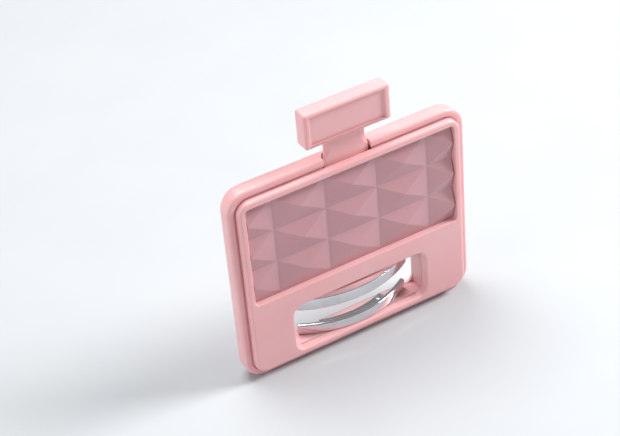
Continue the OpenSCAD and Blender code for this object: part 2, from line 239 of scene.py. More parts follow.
def joined(name, pieces):
    """Several meshes as one object, each keeping its own shading."""
    with bpy.context.temp_override(active_object=pieces[0], selected_editable_objects=pieces):
        bpy.ops.object.join()
    pieces[0].name = name
    pieces[0].data.name = name
    return pieces[0]


print("builders ready")

# %% [markdown]
# Some shapes follow a path instead: the jaws follow an arc, the neck of the plunger changes along its
# length, and posts, shanks and rivets are turned. Each is a row of rings, joined and closed at the ends.

# %% Lofts, turned shapes and arcs
def loft(name, rings, sharp=38):
    """Closed mesh through rings of points, with a flat face at each end."""
    count = len(rings[0])
    points = [p for ring in rings for p in ring]
    faces = [(a + i, a + (i + 1) % count, a + count + (i + 1) % count, a + count + i)
             for a in range(0, (len(rings) - 1) * count, count) for i in range(count)]
    for end in (range(count), range((len(rings) - 1) * count, len(rings) * count)):
        faces += fill(points, [end])
    return finish_mesh(name, points, faces, sharp)


def turned(name, centre, axis, profile, steps=32):
    """Shape of revolution: profile is (distance along axis, radius), centre is where the axis starts."""
    axis = Vector(axis).normalized()
    side = axis.orthogonal().normalized()
    other = axis.cross(side)
    turns = [2 * math.pi * i / steps for i in range(steps)]
    rings = [[Vector(centre) + axis * d + (side * math.cos(a) + other * math.sin(a)) * r for a in turns]
             for d, r in profile]
    return loft(name, rings)


def rounded(corners, radius, steps=3):
    """A closed polygon with each corner rounded, for a section that is swept along a path."""
    points = []
    for i, corner in enumerate(corners):
        here = Vector(corner)
        before = (Vector(corners[i - 1]) - here).normalized() * radius
        after = (Vector(corners[(i + 1) % len(corners)]) - here).normalized() * radius
        for k in range(steps + 1):
            t = k / steps
            points.append(here + before * (1 - t) ** 2 + after * t ** 2)
    return points


print("a rounded square has", len(rounded([(0, 0), (1, 0), (1, 1), (0, 1)], 0.2)), "points")

# %% [markdown]
# ## Back shell
# The shell is a shallow tub. Its rim is a soft round bead, its back edges are well rounded for the hand,
# and the lash window goes right through it. The notch for the plunger and the countersinks for the screws
# are cut out of it afterwards, because they break through rounded surfaces.

# %% Back shell
RIM_Y, BACK_Y = shell_low.y, shell_high.y
WALL = 2.1
FLOOR_Y = BACK_Y - 1.3
SHELL_R = 6.5
BACK_SOFT = 4.0
WINDOW_W, WINDOW_LOW, WINDOW_HIGH, WINDOW_R = 44.0, 4.6, 20.5, 3.0
GROOVE = 0.4
SCREW_HEAD_R, SCREW_HEAD_T, HEAD_SINK = 1.3, 0.8, 0.3
BLADE_Y0, BLADE_Y1 = panel_high.y + 0.25, plunger_high.y
BLADE_W, BLADE_BACK_W, BLADE_SIDE, BLADE_SOFT, SLIP = 14.4, 12.0, 0.6, 0.3, 0.3
screw_low, screw_high = span("frame_screws")
guide_low, guide_high = span("guide_screws")
SCREW_X = screw_high.x - SCREW_HEAD_R
GUIDE_X = guide_high.x - SCREW_HEAD_R
GUIDE_Z = (guide_low.z + guide_high.z) / 2
MIDDLE_SCREW_Z = 24.2
SCREW_ZS = (screw_low.z + SCREW_HEAD_R, MIDDLE_SCREW_Z, screw_high.z - SCREW_HEAD_R)
screw_places = [(side * SCREW_X, z) for side in (-1, 1) for z in SCREW_ZS]
guide_places = [(side * GUIDE_X, GUIDE_Z) for side in (-1, 1)]
BEAD, LINE_SOFT = 0.9, 0.3               # rim's outer rounding, and its rounding into the groove
LEDGE_W, LEDGE_T = 0.7, 1.1              # ledge that the bezel rests on
WINDOW_SOFT = 1.0                        # rounding of the lash window at the back
NOTCH_REACH = 1.0                        # how far the notch runs on in front of the blade
MOUTH_SOFT = 0.35                        # rounding of the rim where the groove turns up into the notch
groove_z = height - WALL - 0.001         # a hair under the wall, so that no cut lies along its face


def shell_profile():
    """From the back face, round the outside and the bead of the rim, down the inside to the floor."""
    outside = round_over(BACK_Y, BACK_SOFT, BACK_Y - BACK_SOFT, 0, 14)
    bead = round_over(RIM_Y + BEAD, 0, RIM_Y, BEAD, 8, from_face=False)
    inner = round_over(RIM_Y, WALL - LINE_SOFT, RIM_Y + LINE_SOFT, WALL, 5)
    ledge_y0, ledge_y1 = panel_high.y, panel_high.y + LEDGE_T
    ledge = [(ledge_y0, WALL), (ledge_y0, WALL + LEDGE_W), (ledge_y1, WALL + LEDGE_W), (ledge_y1, WALL)]
    floor = [(FLOOR_Y - HAIR, WALL), (FLOOR_Y, WALL + HAIR)]
    return [(BACK_Y, BACK_SOFT + HAIR)] + outside + bead + inner + ledge + floor


def window_profile():
    """Lash window, with an edge that is eased for the eyelid at the back."""
    eased = round_over(BACK_Y, -WINDOW_SOFT, BACK_Y - WINDOW_SOFT, 0, 6)
    return [(BACK_Y, -WINDOW_SOFT - HAIR)] + eased + [(FLOOR_Y, 0), (FLOOR_Y, -HAIR)]


window = round_rect(WINDOW_W, WINDOW_LOW, WINDOW_HIGH, WINDOW_R)
shell = plate("back_shell_moulding",
              [(round_rect(width, 0, height, SHELL_R, 14), shell_profile(), False),
               (window, window_profile(), False)])


def notch_section(z, grown):
    """Ring at height z: the blade's section grown at the sides, with slip behind it and open in front."""
    front, back = BLADE_W / 2 + grown, BLADE_BACK_W / 2 + grown
    right = [(front, BLADE_Y0 - NOTCH_REACH), (front, BLADE_Y0 + BLADE_SIDE), (back, BLADE_Y1 + SLIP)]
    corners = right + [(-x, y) for x, y in reversed(right)]
    return [Vector((p.x, p.y, z)) for p in rounded(corners, BLADE_SOFT, 5)]


notch_rings = [notch_section(groove_z - 3, SLIP + MOUTH_SOFT)]
for i in range(9):
    a = math.pi / 2 * i / 8
    notch_rings.append(notch_section(groove_z + MOUTH_SOFT * (1 - math.cos(a)),
                                     SLIP + MOUTH_SOFT * (1 - math.sin(a))))
notch = loft("notch_cutter", notch_rings + [notch_section(height + 2, SLIP)])


def countersink(x, z):
    """Cutter for a screw's place in the back face: a straight hole with an eased mouth."""
    depth, r = SCREW_HEAD_T + HEAD_SINK, SCREW_HEAD_R + 0.06
    return turned("countersink", (x, BACK_Y - depth, z), (0, 1, 0),
                  [(0, r), (depth - 0.15, r), (depth + 0.05, r + 0.15), (depth + 1, r + 0.15)], 40)


def carve(piece, cutters):
    """Cuts closed shapes out of a piece and removes them."""
    for cutter in cutters:
        cut = piece.modifiers.new("cut", "BOOLEAN")
        cut.operation, cut.object, cut.solver = "DIFFERENCE", cutter, "EXACT"
        with bpy.context.temp_override(object=piece, active_object=piece):
            bpy.ops.object.modifier_apply(modifier=cut.name)
        bpy.data.objects.remove(cutter)
    piece.data.set_sharp_from_angle(angle=math.radians(30))


carve(shell, [notch] + [countersink(x, z) for x, z in screw_places + guide_places])


RIB_SOFT = 0.2
RIB_FOOT = 1.0                           # how deep in the outer walls the ribs start
SIDE_TOP = 21.5                          # upper end of the ribs beside the window
BLOCK_W, LOWER_BLOCK_HIGH, UPPER_BLOCK_H = 7.0, 26.9, 4.0


def shell_rib(name, x, w, z0, z1):
    """Upright rib on the shell's floor, with softened edges."""
    soft = round_over(BLADE_Y0, RIB_SOFT, BLADE_Y0 + RIB_SOFT, 0, 3)
    profile = [(BLADE_Y0, RIB_SOFT + HAIR)] + soft + [(FLOOR_Y, 0)]
    place = lambda u, v, d: Vector((x + u, d, v))
    return plate(name, [(round_rect(w, z0, z1, 0.25, 3), profile, False)], place)


rod_low, rod_high = span("guide_rod_right")
ROD_X, ROD_Y = (rod_low.x + rod_high.x) / 2, (rod_low.y + rod_high.y) / 2
ribs = [shell_rib("sill", 0, WINDOW_W + 2.4, RIB_FOOT, WINDOW_LOW - 0.02)]
for side in (-1, 1):
    ribs.append(shell_rib("window_side", side * (WINDOW_W + WALL) / 2, WALL, RIB_FOOT, SIDE_TOP))
    ribs.append(shell_rib("lower_block", side * ROD_X, BLOCK_W, rod_low.z, LOWER_BLOCK_HIGH))
    ribs.append(shell_rib("upper_block", side * ROD_X, BLOCK_W, bezel_high.z - UPPER_BLOCK_H,
                          height - RIB_FOOT))
shell = joined("back_shell_moulding", [shell] + ribs)
print("shell", len(shell.data.polygons), "faces")

# %% [markdown]
# ## Front bezel
# The bezel is a ring that drops into the shell and stands about two millimetres proud of it. Its outer edge
# is rounded more than the edges of its openings, and a recess behind the upper opening holds the panel.

# %% Front bezel
BEZEL_W, BEZEL_R = bezel_high.x - bezel_low.x, SHELL_R - WALL - GROOVE
FRONT_Y, PANEL_BACK_Y = bezel_low.y, panel_high.y
VALLEY_Y = PANEL_BACK_Y - 0.6            # floor between the pyramids
BEZEL_SOFT, BEZEL_BACK_SOFT = 0.9, 0.7
LIP_SOFT, FRONT_WINDOW_SOFT = 0.28, 0.7  # rounding of the panel's opening and of the lash window
TUCK = 0.6                               # how far the panel's rim goes under the bezel
POST_R, POST_LENGTH = 1.5, 5.4
OPEN_W = panel_high.x - panel_low.x - 2 * TUCK
OPEN_LOW, OPEN_HIGH = panel_low.z + TUCK, panel_high.z - TUCK

lip = [(FRONT_Y, -LIP_SOFT - HAIR)] + round_over(FRONT_Y, -LIP_SOFT, FRONT_Y + LIP_SOFT, 0, 4)
bezel_edge = ([(FRONT_Y, BEZEL_SOFT + HAIR)]
              + round_over(FRONT_Y, BEZEL_SOFT, FRONT_Y + BEZEL_SOFT, 0, 8)
              + round_over(PANEL_BACK_Y - BEZEL_BACK_SOFT, 0, PANEL_BACK_Y, BEZEL_BACK_SOFT, 5,
                           from_face=False))
ledge = lip + [(VALLEY_Y, 0), (VALLEY_Y, -TUCK), (PANEL_BACK_Y, -TUCK)]
window_edge = ([(FRONT_Y, -FRONT_WINDOW_SOFT - HAIR)]
               + round_over(FRONT_Y, -FRONT_WINDOW_SOFT, FRONT_Y + FRONT_WINDOW_SOFT, 0, 6)
               + [(PANEL_BACK_Y - HAIR, 0), (PANEL_BACK_Y, -HAIR)])
bezel = plate("front_bezel_moulding",
              [(round_rect(BEZEL_W, bezel_low.z, bezel_high.z, BEZEL_R, 14), bezel_edge, False),
               (round_rect(OPEN_W, OPEN_LOW, OPEN_HIGH, 1.2, 6), ledge, False),
               (window, window_edge, False)])
posts = [turned("post", (x, PANEL_BACK_Y - 0.2, z), (0, 1, 0),
                [(0, POST_R), (POST_LENGTH - 0.2, POST_R), (POST_LENGTH, POST_R - 0.15)])
         for x, z in screw_places]
bezel = joined("front_bezel_moulding", [bezel] + posts)
print("bezel", len(bezel.data.polygons), "faces, lip opening", round(OPEN_W, 2), "mm wide")

# %% [markdown]
# ## Faceted panel
# The panel is a field of shallow rectangular pyramids. Each row has three whole pyramids and a half one at
# each side, whose point lies on the side wall. It is built as a grid of corners and points, and then a
# narrow flat turns every ridge and valley into a line that catches the light, as a mould's edge does.

# %% Faceted panel
CELL_W, CELL_H = 16.57, 10.6
ROWS = 3
RIDGE_SOFT = 0.09                        # width of the flat on every ridge and valley
RELIEF_TOP = OPEN_HIGH - 0.5             # upper end of the pyramids


def facet_relief():
    """The pyramids as one closed mesh that stands on the panel."""
    rise_y, foot_y = panel_low.y, VALLEY_Y + 0.3
    valleys = [c * CELL_W for c in (-2, -1.5, -0.5, 0.5, 1.5, 2)]
    points, faces = [], []

    def add(x, y, z):
        points.append(Vector((x, y, z)))
        return len(points) - 1

    levels = [RELIEF_TOP - CELL_H * r for r in range(ROWS + 1)]
    grid = [[add(x, VALLEY_Y, z) for x in valleys] for z in levels]
    foot = [[add(x, foot_y, z) for x in (valleys[0], valleys[-1])] for z in (levels[0], levels[-1])]
    wall_points = {0: [], 5: []}
    for r in range(ROWS):
        z = (levels[r] + levels[r + 1]) / 2
        for c in range(5):
            a, b, d, e = grid[r][c], grid[r][c + 1], grid[r + 1][c + 1], grid[r + 1][c]
            if 0 < c < 4:
                peak = add((c - 2) * CELL_W, rise_y, z)
                faces += [(a, b, peak), (b, d, peak), (d, e, peak), (e, a, peak)]
                continue
            peak = add(valleys[0] if c == 0 else valleys[-1], rise_y, z)
            inner = (b, d, peak) if c == 0 else (e, a, peak)
            faces += [(a, b, peak), (d, e, peak), inner]
            wall_points[0 if c == 0 else 5].append(peak)
    for column, side in ((0, 0), (5, 1)):
        edge = [grid[0][column]]
        for r in range(ROWS):
            edge += [wall_points[column][r], grid[r + 1][column]]
        faces.append(tuple(edge + [foot[1][side], foot[0][side]]))
    for r, level in ((0, 0), (ROWS, 1)):
        faces.append(tuple(grid[r] + [foot[level][1], foot[level][0]]))
    faces.append((foot[0][0], foot[0][1], foot[1][1], foot[1][0]))
    return finish_mesh("facet_relief", points, faces, sharp=180)


relief = facet_relief()
ridges = relief.modifiers.new("ridges", "BEVEL")
ridges.width, ridges.segments, ridges.limit_method = RIDGE_SOFT * MM, 1, "ANGLE"
ridges.angle_limit = math.radians(5)
with bpy.context.temp_override(object=relief, active_object=relief):
    bpy.ops.object.modifier_apply(modifier=ridges.name)
relief.data.shade_flat()
backing = plate("panel_backing", [(round_rect(OPEN_W + 2 * TUCK, panel_low.z, panel_high.z, 0.8),
                                   [(VALLEY_Y, HAIR), (VALLEY_Y + HAIR, 0),
                                    (PANEL_BACK_Y - HAIR, 0), (PANEL_BACK_Y, HAIR)], False)])
panel = joined("facet_panel_moulding", [relief, backing])
print("panel", len(panel.data.polygons), "faces")

# %% [markdown]
# ## Thumb plunger
# The tab, the neck and the blade are one moulding. The tab has a shallow tray in its front with sloping
# sides. The neck has broad bevels and flares where it meets the blade, which is the width of the notch.

# %% Thumb plunger
TAB_W, TAB_LOW, TAB_HIGH = plunger_high.x - plunger_low.x, 70.2, plunger_high.z
TAB_Y = plunger_low.y
TAB_SOFT, TAB_BACK_SOFT = 0.85, 0.5
TRAY_W, TRAY_LOW, TRAY_HIGH, TRAY_DEPTH = 23.6, 71.0, 80.0, 0.6
TRAY_SOFT, TRAY_SLOPE = 0.22, 0.06       # rounding of the tray's rim and foot, and the lean of its sides
NECK_W, NECK_BEVEL, NECK_BEVEL_T, NECK_BACK_BEVEL = 13.0, 1.7, 0.7, 1.0
NECK_SIDE = 1.3                          # depth from the neck's front to its back bevels
FLARE_LOW, FLARE_HIGH = 63.2, 66.4

tab_edge = ([(TAB_Y, TAB_SOFT + HAIR)] + round_over(TAB_Y, TAB_SOFT, TAB_Y + 0.7, 0, 6)
            + round_over(BLADE_Y1 - TAB_BACK_SOFT, 0, BLADE_Y1, TAB_BACK_SOFT, 5, from_face=False)
            + [(BLADE_Y1, TAB_BACK_SOFT + HAIR)])
tray_y = TAB_Y + TRAY_DEPTH
tray = ([(TAB_Y, -TRAY_SOFT - HAIR)] + round_over(TAB_Y, -TRAY_SOFT, TAB_Y + 0.15, -TRAY_SLOPE, 3)
        + [(tray_y - 0.12, TRAY_SLOPE), (tray_y - 0.03, 2 * TRAY_SLOPE),
           (tray_y, TRAY_SOFT), (tray_y, TRAY_SOFT + HAIR)])
tab = plate("tab", [(round_rect(TAB_W, TAB_LOW, TAB_HIGH, 0.7, 6), tab_edge, False),
                    (round_rect(TRAY_W, TRAY_LOW, TRAY_HIGH, 0.35, 4), tray, True)])


def stem_section(part, z):
    """Ring at height z: the bevelled neck where part is 0, the blade where it is 1, a blend between."""
    neck_half, blade_half = NECK_W / 2, BLADE_W / 2
    neck = ((neck_half - NECK_BEVEL, BLADE_Y0), (neck_half, BLADE_Y0 + NECK_BEVEL_T),
            (neck_half, BLADE_Y0 + NECK_SIDE), (neck_half - NECK_BACK_BEVEL, BLADE_Y1))
    blade = ((blade_half - BLADE_SOFT, BLADE_Y0), (blade_half, BLADE_Y0 + BLADE_SOFT),
             (blade_half, BLADE_Y0 + BLADE_SIDE), (BLADE_BACK_W / 2, BLADE_Y1))
    right = [Vector(n).lerp(Vector(b), part) for n, b in zip(neck, blade)]
    ring = right + [Vector((-p.x, p.y)) for p in reversed(right)]
    return [Vector((p.x, p.y, z)) for p in rounded(ring, 0.12, 3)]


FLARE_STEPS = 10
stem_rings = [stem_section(0, TAB_LOW + 0.4)]
for i in range(FLARE_STEPS + 1):
    t = i / FLARE_STEPS
    stem_rings.append(stem_section(t * t, FLARE_HIGH + (FLARE_LOW - FLARE_HIGH) * t))
stem = loft("stem", stem_rings + [stem_section(1, plunger_low.z)])
plunger = joined("thumb_plunger_moulding", [tab, stem])

# %% [markdown]
# ## Jaws and pad
# Both jaws follow one arc, so that they meet along their whole length. A section is drawn as distance from
# the arc and height, its corners are rounded, and it is swept along the arc. The last few steps at each end
# shrink the section a little, which rounds the ends of the strip.

# %% Jaws and pad
JAW_R, JAW_END_Y, JAW_W, JAW_T = 32.2, 2.6, 36.0, 1.5
JAW_ANGLE = math.asin(JAW_W / 2 / JAW_R)
JAW_CENTRE_Y = JAW_END_Y + JAW_R * math.cos(JAW_ANGLE)
END_SOFT = 0.35


def along_jaw(name, section, half_angle=JAW_ANGLE, steps=48, end_soft=END_SOFT):
    """Sweep of a section along the jaws' arc, with eased ends."""
    middle = sum((Vector(p) for p in section), Vector((0, 0))) / len(section)
    ease = end_soft / JAW_R
    stations = [(-half_angle + ease * (1 - math.cos(a)), math.sin(a))
                for a in (math.pi / 2 * k / 4 for k in range(5))]
    inner = half_angle - ease
    stations += [(-inner + 2 * inner * k / steps, 1.0) for k in range(1, steps)]
    stations += [(-a, s) for a, s in reversed(stations[:5])]
    rings = []
    for angle, grown in stations:
        draw_in = end_soft * (1 - grown)
        ring = []
        for p in section:
            away = Vector(p) - middle
            q = middle + Vector((math.copysign(max(abs(away.x) - draw_in, 0.02), away.x),
                                 math.copysign(max(abs(away.y) - draw_in, 0.02), away.y)))
            r = JAW_R + q.x
            ring.append(Vector((r * math.sin(angle), JAW_CENTRE_Y - r * math.cos(angle), q.y)))
        rings.append(ring)
    return loft(name, rings)


def box_section(r0, r1, z0, z1, radius, steps=3):
    """Rectangular section with round corners, from r0 to r1 off the arc and from z0 to z1."""
    return rounded([(r0, z0), (r1, z0), (r1, z1), (r0, z1)], radius, steps)


jaw_low, jaw_high = span("fixed_jaw")
channel_low, channel_high = span("moving_jaw")
pad_low, carrier_high = span("lash_pad")[0], span("jaw_carrier")[1]
FLANGE_ANGLE, FLANGE_W, FLANGE_T = math.radians(22), 4.5, 0.8
edge = along_jaw("jaw_edge", box_section(-JAW_T / 2, JAW_T / 2, jaw_low.z, jaw_high.z, 0.6, 6))
flange = along_jaw("jaw_flange", box_section(-FLANGE_W, 0, jaw_low.z, jaw_low.z + FLANGE_T, 0.2),
                   FLANGE_ANGLE, 32, 0.2)
fixed_jaw = joined("fixed_jaw_strip", [edge, flange])

PAD_HALF, CHANNEL_HALF, ROOF_T = 0.95, 1.5, 0.8
PAD_ANGLE = JAW_ANGLE - math.radians(0.4)
roof = channel_high.z - ROOF_T
channel = rounded([(-CHANNEL_HALF, channel_low.z), (-PAD_HALF, channel_low.z), (-PAD_HALF, roof),
                   (PAD_HALF, roof), (PAD_HALF, channel_low.z), (CHANNEL_HALF, channel_low.z),
                   (CHANNEL_HALF, channel_high.z), (-CHANNEL_HALF, channel_high.z)], 0.16, 3)
moving_jaw = along_jaw("moving_jaw_channel", channel, end_soft=0.1)
pad = along_jaw("lash_pad_moulding", box_section(-PAD_HALF, PAD_HALF, pad_low.z, roof, 0.7, 6),
                PAD_ANGLE, end_soft=0.3)
print("jaws gap at rest", round(pad_low.z - jaw_high.z, 2), "mm")

# %% [markdown]
# The carrier joins the moving jaw to the blade. It is a curved bar over the jaw, a web behind it, and a
# tongue that is riveted to the back of the blade.

# %% Jaw carrier
TONGUE_W, TONGUE_SOFT, WEB_W, WEB_SOFT = 14.0, 0.3, 18.0, 0.15
WEB_BAND = 0.05                          # narrow flat band inside the web's softened edges
CARRIER_BACK = carrier_high.y
BAR_LOW, BAR_HIGH = channel_high.z, channel_high.z + 1.8
bar = along_jaw("carrier_bar", box_section(-CHANNEL_HALF, CHANNEL_HALF, BAR_LOW, BAR_HIGH, 0.3))


def web_outline(inset):
    """Seen from above: straight sides and back, and a front that follows the jaws' arc."""
    half, back, r = WEB_W / 2 - inset, CARRIER_BACK - 0.2 - inset, JAW_R - inset
    reach = math.asin(half / r)
    arc = [(r * math.sin(a), JAW_CENTRE_Y - r * math.cos(a))
           for a in (-reach + 2 * reach * k / 16 for k in range(17))]
    return arc + [(half, back), (-half, back)]


web_profile = ([(BAR_LOW, WEB_SOFT + WEB_BAND)] + round_over(BAR_LOW, WEB_SOFT, BAR_LOW + WEB_SOFT, 0, 3)
               + [(BAR_HIGH - WEB_SOFT, 0), (BAR_HIGH, WEB_SOFT), (BAR_HIGH, WEB_SOFT + WEB_BAND)])
web = plate("carrier_web", [(web_outline, web_profile, False)], top_view)
tongue_soft_y = CARRIER_BACK - TONGUE_SOFT
tongue_profile = ([(BLADE_Y1, 0), (tongue_soft_y, 0)]
                  + round_over(tongue_soft_y, 0, CARRIER_BACK, TONGUE_SOFT, 4, from_face=False)
                  + [(CARRIER_BACK, TONGUE_SOFT + HAIR)])
tongue_outline = round_rect(TONGUE_W, BAR_LOW, carrier_high.z, 1.2)
tongue = plate("carrier_tongue", [(tongue_outline, tongue_profile, False)])
carrier = joined("jaw_carrier_moulding", [bar, web, tongue])
print("carrier", len(carrier.data.polygons), "faces")

# %% [markdown]
# ## Small metal parts
# The screws have a turned shank and a head with a cross recess, and the rivets have low domed heads.

# %% Screws and rivets
SHANK_R, TIP_R, TIP_LENGTH = 0.58, 0.35, 0.4
HEAD_SOFT, CONE_R = 0.12, 0.6            # rounding of a head's rim, and how far its cone draws in
DOME_R, DOME_H = 0.55, 0.45              # the same for the domed heads on the fixed jaw


def shank(name, foot, axis, length):
    """Pointed shank of a screw, from its foot up into the head."""
    return turned(name + "_shank", foot, axis, [(0, TIP_R), (TIP_LENGTH, SHANK_R), (length, SHANK_R)], 20)


def screw(name, x, z, y1, length):
    """Countersunk screw with a cross recess, its head towards the back."""
    head_t = SCREW_HEAD_T - 0.1
    rim = ([(y1, HEAD_SOFT + HAIR)] + round_over(y1, HEAD_SOFT, y1 - HEAD_SOFT, 0, 3)
           + [(y1 - 0.3, 0), (y1 - head_t, CONE_R)])
    recess = [(y1, -0.04), (y1 - 0.05, 0), (y1 - 0.4, 0.05)]
    head = plate(name + "_head", [(disc(x, z, SCREW_HEAD_R), rim, False),
                                  (cross(x, z, 0.75, 0.19), recess, True)])
    return [head, shank(name, (x, y1 - length, z), (0, 1, 0), length - head_t + 0.1)]


def screw_group(name, places, y1, length):
    parts = []
    for i, (x, z) in enumerate(places):
        parts += screw(f"{name}_{i}", x, z, y1, length)
    return joined(name, parts)


frame_screws = screw_group("frame_screw_set", screw_places, screw_high.y, screw_high.y - screw_low.y)
guide_screws = screw_group("guide_screw_set", guide_places, guide_high.y, guide_high.y - guide_low.y)

jaw_screw_low, jaw_screw_high = span("fixed_jaw_screws")
JAW_SCREW_X, JAW_SCREW_Y = jaw_screw_high.x - SCREW_HEAD_R, (jaw_screw_low.y + jaw_screw_high.y) / 2


def pan_screw(name, x):
    """Screw seen from above, with a domed head and a cross recess."""
    z1 = jaw_screw_high.z
    z0 = z1 - SCREW_HEAD_T
    dome = [(z1, DOME_R + HAIR)] + round_over(z1, DOME_R, z1 - DOME_H, 0, 5) + [(z0, 0)]
    recess = [(z1, -0.04), (z1 - 0.05, 0), (z1 - 0.35, 0.05)]
    head = plate(name + "_head", [(disc(x, JAW_SCREW_Y, SCREW_HEAD_R), dome, False),
                                  (cross(x, JAW_SCREW_Y, 0.62, 0.17), recess, True)], top_view)
    foot = (x, JAW_SCREW_Y, jaw_screw_low.z)
    return [head, shank(name, foot, (0, 0, 1), z0 - jaw_screw_low.z + 0.1)]


jaw_screws = joined("fixed_jaw_screw_set", pan_screw("jaw_screw_0", -JAW_SCREW_X)
                    + pan_screw("jaw_screw_1", JAW_SCREW_X))

RIVET_R, RIVET_X, RIVET_Z = 0.6, 3.5, BAR_HIGH + 4
RIVET_DOME = 0.12                        # how far a rivet's head rises


def rivet(x):
    """Rivet through the blade and the tongue, with a low domed head at each end."""
    length = CARRIER_BACK - BLADE_Y0
    dome = [(-RIVET_DOME * up, r) for up, r in ((1, 0.02), (0.85, 0.4), (0.3, 0.72), (0, 0.8))]
    back = [(length - d, r) for d, r in reversed(dome)]
    return turned(f"rivet_{x}", (x, BLADE_Y0, RIVET_Z), (0, 1, 0),
                  dome + [(0.05, RIVET_R), (length - 0.05, RIVET_R)] + back, 24)


rivets = joined("carrier_rivet_pair", [rivet(-RIVET_X), rivet(RIVET_X)])
print("screws:", len(screw_places) + len(guide_places) + 2, "and two rivets")

# %% [markdown]
# Each spring is one wire wound round its rod, with closed turns at both ends. The rods, bushes and spring
# seats are already right on the frame.

# %% Springs
SPRING_TURNS, SPRING_R, WIRE_R = 11, 1.75, 0.25
CLOSED_TURNS = 0.9                       # turns that lie flat at each end
spring_low, spring_high = span("return_spring_right")


def coil(name, x):
    """Round wire wound up the rod, with its first and last turn lying flat."""
    z0, z1 = spring_low.z + WIRE_R, spring_high.z - WIRE_R
    steps, sides = 28, 10
    total = SPRING_TURNS * steps
    flat = CLOSED_TURNS * steps
    lay = 2 * WIRE_R
    rings = []
    for i in range(total + 1):
        a = 2 * math.pi * i / steps
        if i < flat:
            z = z0 + lay * i / flat
        elif i > total - flat:
            z = z1 - lay * (total - i) / flat
        else:
            z = z0 + lay + (z1 - z0 - 2 * lay) * (i - flat) / (total - 2 * flat)
        out = Vector((math.cos(a), math.sin(a), 0))
        centre = Vector((x, ROD_Y, z)) + out * SPRING_R
        rings.append([centre + (out * math.cos(b) + Vector((0, 0, 1)) * math.sin(b)) * WIRE_R
                      for b in (2 * math.pi * k / sides for k in range(sides))])
    return loft(name, rings, sharp=60)


springs = {side: coil(f"spring_wire_{side}", x) for side, x in (("left", -ROD_X), ("right", ROD_X))}

# %% [markdown]
# ## Writing materials as sums
# A material is a graph of nodes, but it reads better as arithmetic. The class below wraps the output socket
# of a node. Adding or multiplying two of them adds a Math node, and one method makes any other node.

# %% Sockets as values
class Value:
    """The output socket of a node, with the arithmetic that the finishes below use."""

    def __init__(self, graph, socket):
        self.graph, self.socket = graph, socket

    def __add__(self, other):
        return self.graph.node("ShaderNodeMath", {"operation": "ADD"}, {0: self, 1: other})

    __radd__ = __add__

    def __mul__(self, other):
        return self.graph.node("ShaderNodeMath", {"operation": "MULTIPLY"}, {0: self, 1: other})

    def between(self, low, high):
        """0 below low, 1 above high, and a smooth rise between them."""
        return self.graph.node("ShaderNodeMapRange", {"interpolation_type": "SMOOTHSTEP"},
                               {"Value": self, "From Min": low, "From Max": high})


class Graph:
    """A material's node tree, its shader, and the one method that adds nodes to it."""

    def __init__(self, name):
        self.material = bpy.data.materials.new(name)
        self.material.use_nodes = True
        self.tree = self.material.node_tree
        self.shader = self.tree.nodes["Principled BSDF"]

    def node(self, kind, settings=None, values=None, output=0):
        """Adds a node: its settings first, then its inputs, each a number, a colour or another Value."""
        node = self.tree.nodes.new(kind)
        for key, setting in (settings or {}).items():
            setattr(node, key, setting)
        for key, value in (values or {}).items():
            if isinstance(value, Value):
                self.tree.links.new(value.socket, node.inputs[key])
            else:
                node.inputs[key].default_value = value
        return Value(self, node.outputs[output])

    def place(self):
        """Where a point of the surface is, in the piece's own metres."""
        return self.node("ShaderNodeTexCoord", output="Object")

    def noise(self, scale, detail, roughness, vector=None):
        """Soft random variation from 0 to 1; scale is in waves per metre."""
        return self.node("ShaderNodeTexNoise", {"noise_dimensions": "3D"},
                         {"Vector": vector or self.place(), "Scale": scale, "Detail": detail,
                          "Roughness": roughness})

    def stretch(self, factors):
        """The surface's place with each axis stretched, for grain that runs one way."""
        return self.node("ShaderNodeVectorMath", {"operation": "MULTIPLY"}, {0: self.place(), 1: factors})

    def mix(self, factor, a, b):
        """Colour a where factor is 0, colour b where it is 1."""
        return self.node("ShaderNodeMix", {"data_type": "RGBA"},
                         {"Factor": factor, 6: a, 7: b}, output=2)

    def edges(self, low, high):
        """1 on ridges and outside corners, 0 on flats, from the bend of the mesh."""
        return self.node("ShaderNodeNewGeometry", output="Pointiness").between(low, high)

    def bump(self, height, distance, strength):
        """Fine relief: a height of 1 stands out by the distance, which is in metres."""
        normal = self.node("ShaderNodeBump", {},
                           {"Strength": strength, "Distance": distance, "Height": height})
        self.tree.links.new(normal.socket, self.shader.inputs["Normal"])

    def feed(self, **inputs):
        """Sets or links the shader's own inputs; an underscore in a name stands for a space."""
        for key, value in inputs.items():
            socket = self.shader.inputs[key.replace("_", " ")]
            if isinstance(value, Value):
                self.tree.links.new(value.socket, socket)
            else:
                socket.default_value = value
        return self.material


def rgb(red, green, blue):
    """A colour given as it looks on screen, 0 to 255, turned into the linear light that shaders use."""
    return (*[((c / 255 + 0.055) / 1.055) ** 2.4 for c in (red, green, blue)], 1.0)


print("pink in linear light:", [round(c, 3) for c in rgb(238, 172, 174)[:3]])

# %% [markdown]
# ## Plastics
# The frame and the plunger are a pale pink moulded plastic with a satin gloss. Light enters it a little,
# so grooves glow in a deeper pink. The colour drifts slightly, as pigment does; the roughness drifts with
# handling, which also leaves paler patches; and the finest bump is the texture of the mould.

